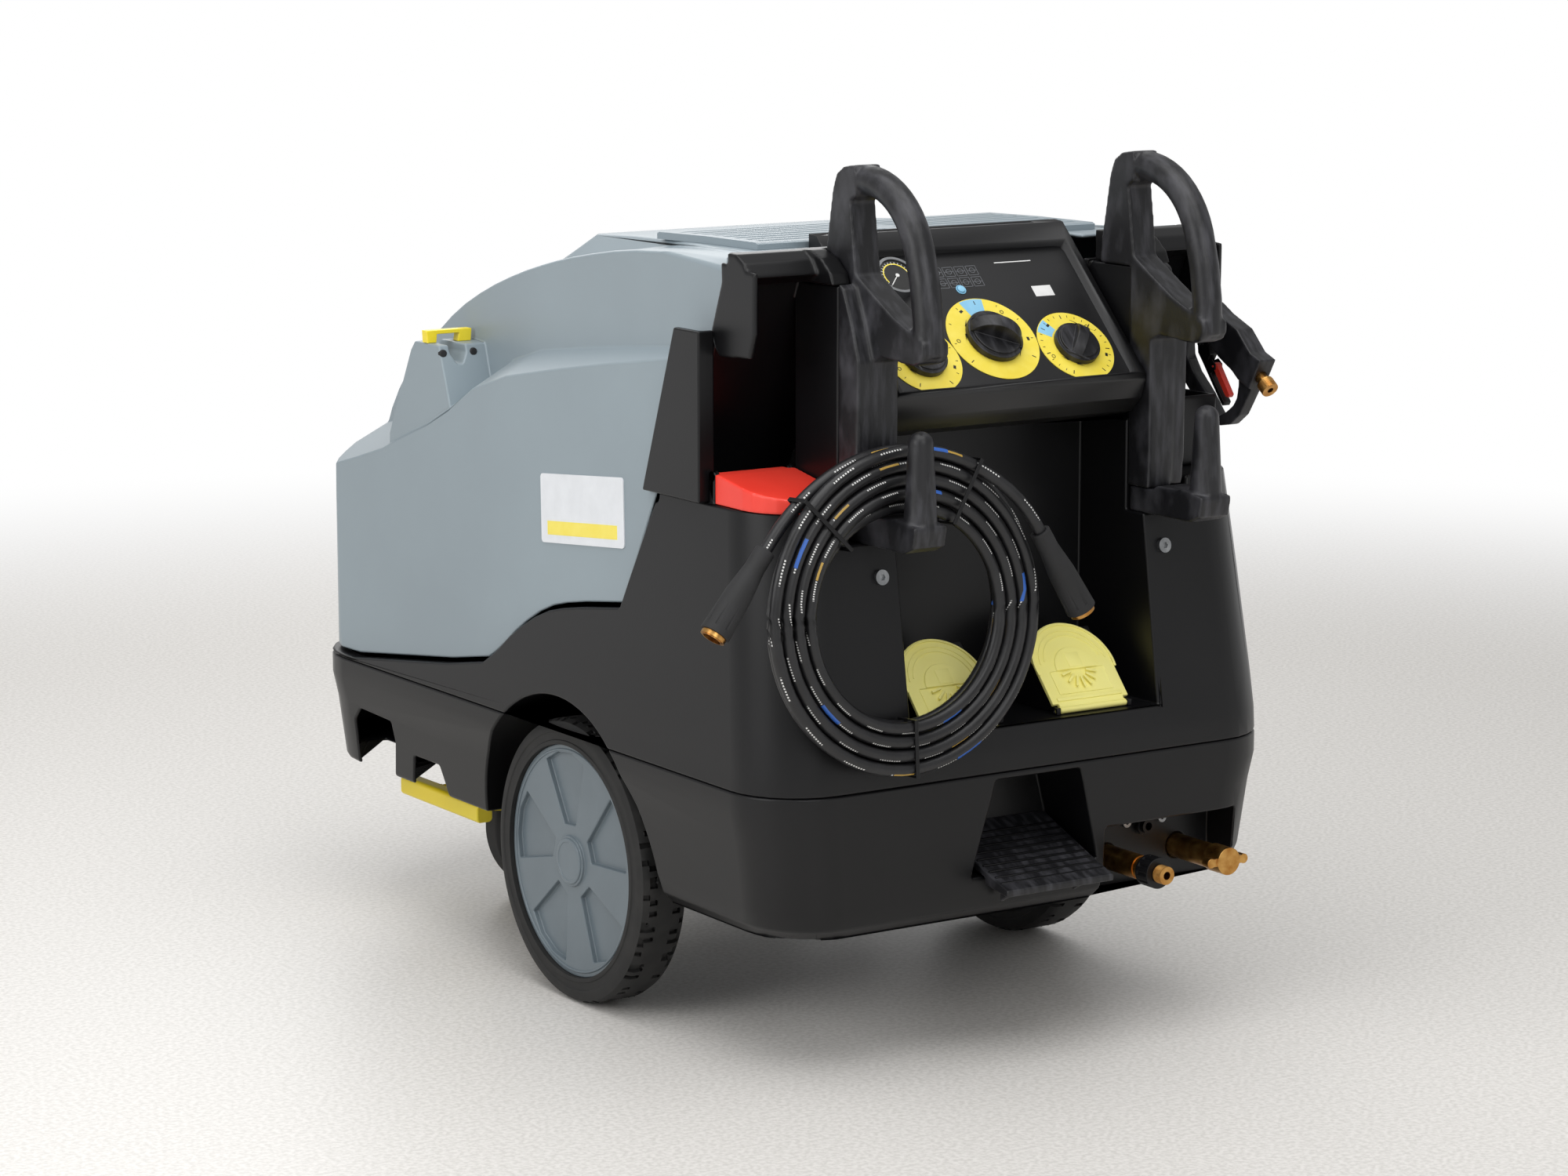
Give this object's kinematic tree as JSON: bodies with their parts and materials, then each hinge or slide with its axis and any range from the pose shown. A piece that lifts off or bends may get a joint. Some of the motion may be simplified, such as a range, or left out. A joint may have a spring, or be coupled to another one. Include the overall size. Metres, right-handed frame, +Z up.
{
  "type": "hot-water pressure washer",
  "caption": "Wheeled hot-water pressure washer with a tilting hood, push handles, control panel, hung hose coil, trigger gun and a braked castor.",
  "frame": {"origin": "on the floor, at the middle of the machine's length and width", "axes": "+Z up, +Y towards the nose, +X towards the operator's right when standing behind the handles"},
  "size_m": [0.8429, 1.329, 1.06],
  "materials": {
    "black_plastic": "moulded",
    "panel_plastic": "satin",
    "hood_plastic": "satin",
    "disc_plastic": "satin",
    "yellow_plastic": "satin",
    "lid_plastic": "satin",
    "red_plastic": "satin",
    "dial_print": "printed",
    "tank_plastic": "moulded",
    "tyre_rubber": "matt",
    "hose_rubber": "matt",
    "soft_rubber": "matt",
    "steel": "brushed",
    "chrome": "polished",
    "label": "satin",
    "brass": "turned",
    "motor_paint": "satin"
  },
  "bodies": {
    "machine": {"base_tray": "black_plastic", "main_body": "black_plastic", "top_cowl": "black_plastic", "lance_trough_left": "black_plastic", "gun_holder": "black_plastic", "control_housing": "black_plastic", "control_panel": "panel_plastic", "dial_rings": "dial_print", "pressure_gauge": "chrome", "handle_left": "black_plastic", "handle_right": "black_plastic", "hook_left": "black_plastic", "hook_right": "black_plastic", "body_screws": "steel", "fuel_tank": "tank_plastic", "filler_necks": "black_plastic", "detergent_tank": "tank_plastic", "step_tread": "black_plastic", "water_tank": "tank_plastic", "axle": "steel", "castor_mount": "steel", "motor": "motor_paint", "pump": "brass", "boiler": "steel", "burner": "motor_paint", "electrics_box": "panel_plastic", "pressure_pipes": "steel", "outlet_fitting": "brass", "inlet_fitting": "brass", "cable_gland": "black_plastic", "hose_coil": "hose_rubber", "connector_left": "soft_rubber", "connector_right": "soft_rubber", "connector_tips": "brass", "hose_ties": "black_plastic"},
    "hood": {"hood": "hood_plastic", "top_plate": "hood_plastic", "label_plate": "label", "lance_clips": "yellow_plastic"},
    "knob_mode": {"knob_mode": "black_plastic"},
    "knob_detergent": {"knob_detergent": "black_plastic"},
    "knob_pressure": {"knob_pressure": "black_plastic"},
    "fuel_lid": {"fuel_lid": "red_plastic"},
    "detergent_lid_left": {"detergent_lid_left": "lid_plastic"},
    "detergent_lid_right": {"detergent_lid_right": "lid_plastic"},
    "wheel_left": {"tyre_left": "tyre_rubber", "wheel_disc_left": "disc_plastic"},
    "wheel_right": {"tyre_right": "tyre_rubber", "wheel_disc_right": "disc_plastic"},
    "castor": {"castor_fork": "steel", "castor_axle": "steel"},
    "castor_wheel": {"castor_wheel": "soft_rubber"},
    "brake": {"brake_pedal": "yellow_plastic"},
    "gun": {"gun_body": "black_plastic", "gun_inlet": "brass"},
    "trigger": {"gun_trigger": "black_plastic"},
    "latch": {"gun_latch": "red_plastic"},
    "inlet_cap": {"inlet_cap": "brass"},
    "outlet_ring": {"outlet_ring": "black_plastic"}
  },
  "joints": [
    {"name": "hood_lift", "type": "hinge", "parent": "machine", "child": "hood", "pos_m": [0, -0.433, 0.952], "axis": [1, 0, 0], "range_deg": [0, 70]},
    {"name": "knob_mode_turn", "type": "hinge", "parent": "machine", "child": "knob_mode", "pos_m": [0, -0.493, 0.844], "axis": [0, -0.7071, 0.7071], "range_deg": [-60, 240]},
    {"name": "knob_detergent_turn", "type": "hinge", "parent": "machine", "child": "knob_detergent", "pos_m": [-0.11113, -0.5075, 0.8295], "axis": [0, -0.7071, 0.7071], "range_deg": [0, 180]},
    {"name": "knob_pressure_turn", "type": "hinge", "parent": "machine", "child": "knob_pressure", "pos_m": [0.11113, -0.5075, 0.8295], "axis": [0, -0.7071, 0.7071], "range_deg": [-120, 120]},
    {"name": "fuel_lid_lift", "type": "hinge", "parent": "machine", "child": "fuel_lid", "pos_m": [-0.295, -0.425, 0.7], "axis": [-1, 0, 0], "range_deg": [0, 90]},
    {"name": "detergent_lid_left_tilt", "type": "hinge", "parent": "machine", "child": "detergent_lid_left", "pos_m": [-0.095, -0.572, 0.4046], "axis": [1, 0, 0], "range_deg": [0, 42]},
    {"name": "detergent_lid_right_tilt", "type": "hinge", "parent": "machine", "child": "detergent_lid_right", "pos_m": [0.095, -0.572, 0.4046], "axis": [1, 0, 0], "range_deg": [0, 110]},
    {"name": "wheel_left_spin", "type": "hinge", "parent": "machine", "child": "wheel_left", "pos_m": [-0.324, -0.1, 0.178], "axis": [1, 0, 0], "continuous": true},
    {"name": "wheel_right_spin", "type": "hinge", "parent": "machine", "child": "wheel_right", "pos_m": [0.324, -0.1, 0.178], "axis": [1, 0, 0], "continuous": true},
    {"name": "castor_swivel", "type": "hinge", "parent": "machine", "child": "castor", "pos_m": [0, 0.41, 0.2], "axis": [0, 0, 1], "continuous": true},
    {"name": "castor_wheel_spin", "type": "hinge", "parent": "castor", "child": "castor_wheel", "pos_m": [-0.085, 0.41, 0.097], "axis": [0, 1, 0], "continuous": true},
    {"name": "brake_press", "type": "hinge", "parent": "castor", "child": "brake", "pos_m": [-0.092, 0.41, 0.165], "axis": [0, -1, 0], "range_deg": [0, 9]},
    {"name": "gun_lift", "type": "slide", "parent": "machine", "child": "gun", "axis": [0, 0, 1], "range_m": [0, 0.12]},
    {"name": "trigger_pull", "type": "hinge", "parent": "gun", "child": "trigger", "pos_m": [0.354, -0.453, 0.812], "axis": [-1, 0, 0], "range_deg": [0, 8], "stiffness_Nm_per_rad": 3, "springref_deg": -5.73},
    {"name": "latch_turn", "type": "hinge", "parent": "trigger", "child": "latch", "pos_m": [0.354, -0.474, 0.786], "axis": [-1, 0, 0], "range_deg": [0, 12]},
    {"name": "inlet_cap_off", "type": "slide", "parent": "machine", "child": "inlet_cap", "axis": [0, -1, 0], "range_m": [0, 0.04]},
    {"name": "outlet_ring_turn", "type": "hinge", "parent": "machine", "child": "outlet_ring", "pos_m": [0.15, -0.624, 0.205], "axis": [0, 1, 0], "continuous": true}
  ]
}
